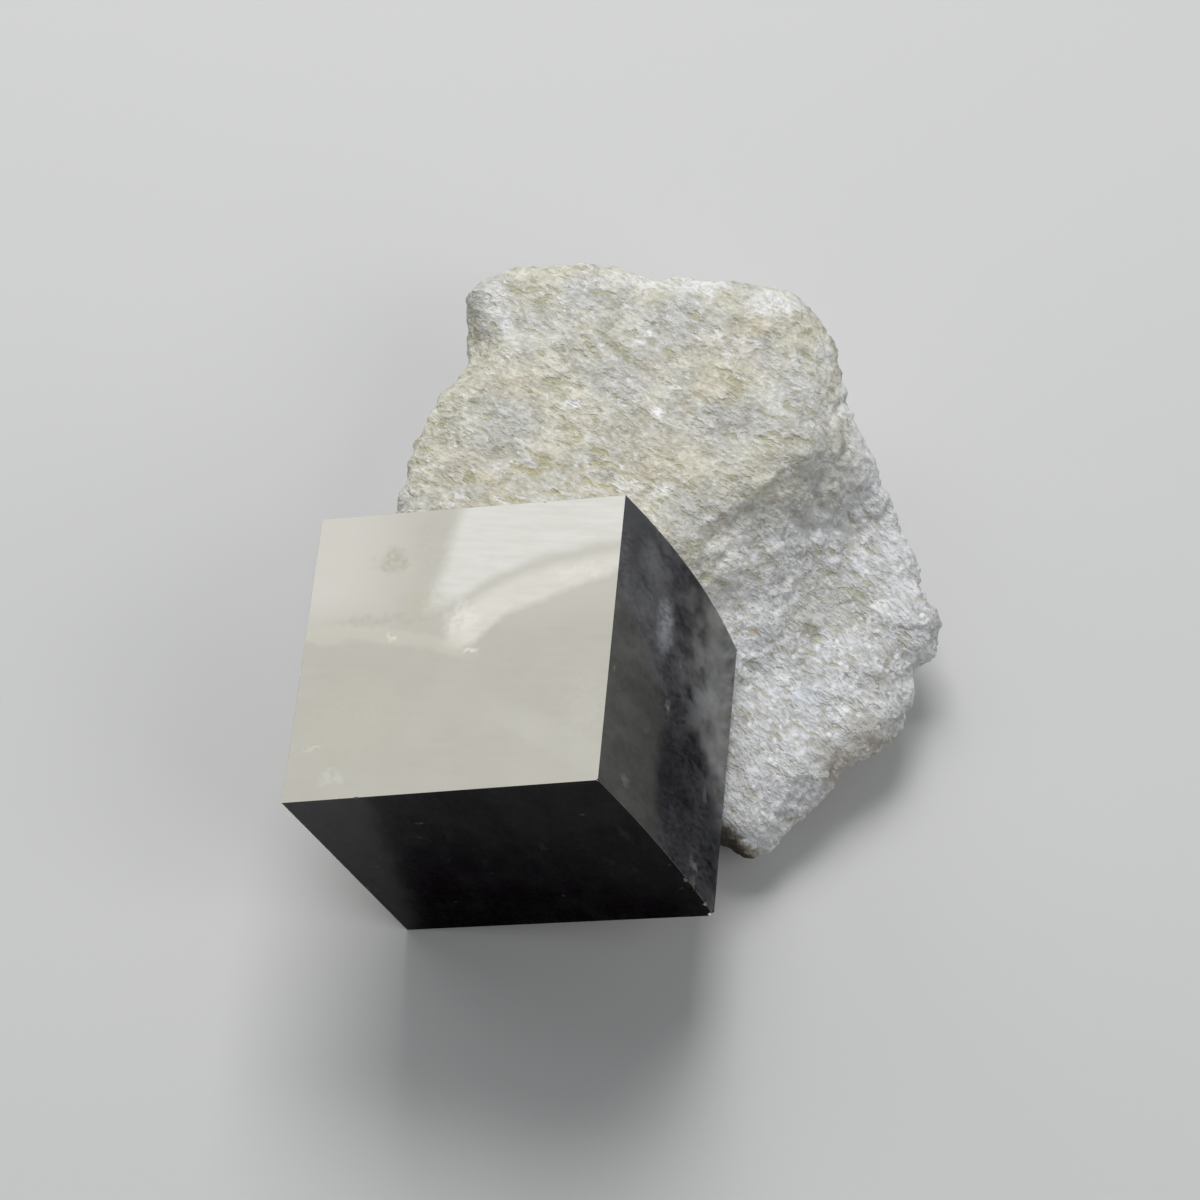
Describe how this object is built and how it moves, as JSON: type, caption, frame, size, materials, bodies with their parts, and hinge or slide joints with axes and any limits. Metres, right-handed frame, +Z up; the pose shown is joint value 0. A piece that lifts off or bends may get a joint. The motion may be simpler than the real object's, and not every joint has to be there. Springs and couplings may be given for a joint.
{
  "type": "pyrite crystal specimen",
  "caption": "Mineral specimen: a sharp-edged pyrite cube leaning on one long edge, grown into the corner of a rough, pale block of sugary marl.",
  "frame": {"origin": "on the table, under the middle of the specimen's bounding box", "axes": "+Z up; +Y away from the viewer, from the crystal towards the marl; +X to the viewer's right"},
  "size_m": [0.0448, 0.0476, 0.0286],
  "materials": {
    "pyrite": "polished",
    "marl": "matte"
  },
  "bodies": {
    "root": {"pyrite_cube": "pyrite", "marl_matrix": "marl"}
  },
  "joints": []
}
